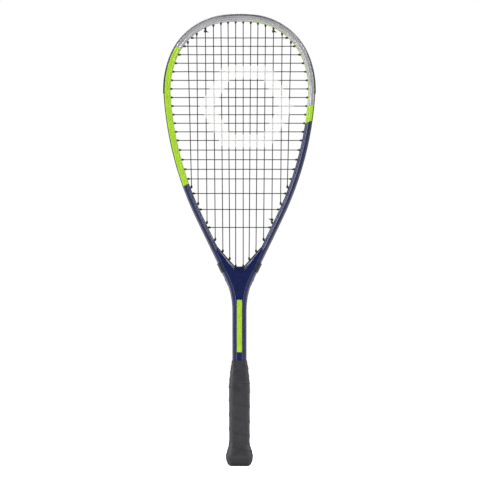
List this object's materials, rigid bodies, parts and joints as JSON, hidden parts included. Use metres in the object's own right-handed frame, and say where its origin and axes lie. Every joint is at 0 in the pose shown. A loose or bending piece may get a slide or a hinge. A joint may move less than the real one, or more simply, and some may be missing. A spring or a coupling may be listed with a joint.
{
  "type": "squash racket",
  "caption": "Squash racket with a teardrop strung head, moulded throat, twin-tube shaft and wrapped grip with a flared butt.",
  "frame": {"origin": "centre of the butt's end face", "axes": "+Z from the butt along the shaft to the crown, +X across the head, +Y square to the string bed"},
  "size_m": [0.2146, 0.0362, 0.635],
  "materials": {
    "frame_paint": "gloss painted aluminium, lime with silver crown and navy legs",
    "guard_nylon": "moulded nylon, satin black",
    "string_gut": "coated multifilament nylon, near black",
    "yoke_moulding": "gloss moulded navy",
    "inlay_lime": "gloss lime",
    "clip_nylon": "moulded black",
    "rivet_metal": "blackened rivet",
    "pallet_foam": "moulded pallet",
    "cap_plastic": "moulded dark olive black",
    "tack_steel": "steel",
    "collar_rubber": "soft rubber",
    "wrap_cushion": "perforated cushion wrap, charcoal"
  },
  "bodies": {
    "root": {"frame_tube": "frame_paint", "bumper_guard": "guard_nylon", "grommet_strip_left": "guard_nylon", "grommet_strip_right": "guard_nylon", "throat_grommet": "guard_nylon", "main_strings": "string_gut", "cross_strings": "string_gut", "main_string_loops": "string_gut", "cross_string_loops": "string_gut", "string_knots": "string_gut", "throat_yoke_front": "yoke_moulding", "throat_yoke_back": "yoke_moulding", "shaft_inlay_front": "inlay_lime", "shaft_inlay_back": "inlay_lime", "throat_clip_left": "clip_nylon", "throat_clip_right": "clip_nylon", "throat_rivets": "rivet_metal", "handle_pallet_front": "pallet_foam", "handle_pallet_back": "pallet_foam", "butt_cap": "cap_plastic", "butt_cap_tacks": "tack_steel", "grip_collar": "collar_rubber", "grip_wrap": "wrap_cushion"}
  },
  "joints": []
}
